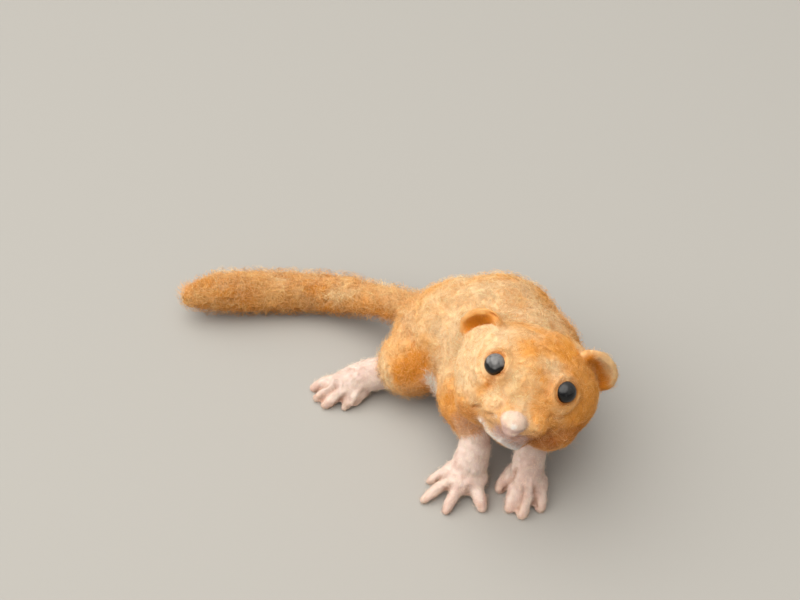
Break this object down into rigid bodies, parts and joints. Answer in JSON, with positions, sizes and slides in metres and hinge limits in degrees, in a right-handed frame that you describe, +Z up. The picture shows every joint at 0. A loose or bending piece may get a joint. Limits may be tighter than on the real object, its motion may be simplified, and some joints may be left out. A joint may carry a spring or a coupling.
{
  "type": "needle-felted dormouse figure",
  "caption": "Needle-felted wool figure of a hazel dormouse that crouches with splayed pink hands and feet, looks up with bead eyes and trails a thick furry tail.",
  "frame": {"origin": "on the floor, under the middle of the whole figure's box", "axes": "+Z is up, the figure looks along -Y, +X is its own left, and the tail runs out along -X"},
  "size_m": [0.0904, 0.0642, 0.0359],
  "materials": {
    "apricot_wool": "matte needle-felted wool with a short fuzz",
    "ginger_wool": "matte needle-felted wool, darker, in the hollow of the ear",
    "pink_wool": "tightly wrapped fine wool, nearly smooth",
    "black_glass": "polished black glass bead"
  },
  "bodies": {
    "root": {"arm_left": "apricot_wool", "arm_right": "apricot_wool", "ear_left": "ginger_wool", "ear_right": "ginger_wool", "eye_left": "black_glass", "eye_right": "black_glass", "forepaw_left": "pink_wool", "forepaw_right": "pink_wool", "head": "apricot_wool", "hindfoot_left": "pink_wool", "hindfoot_right": "pink_wool", "neck": "apricot_wool", "nose": "pink_wool", "tail": "apricot_wool", "thigh_left": "apricot_wool", "thigh_right": "apricot_wool", "torso": "apricot_wool"}
  },
  "joints": []
}
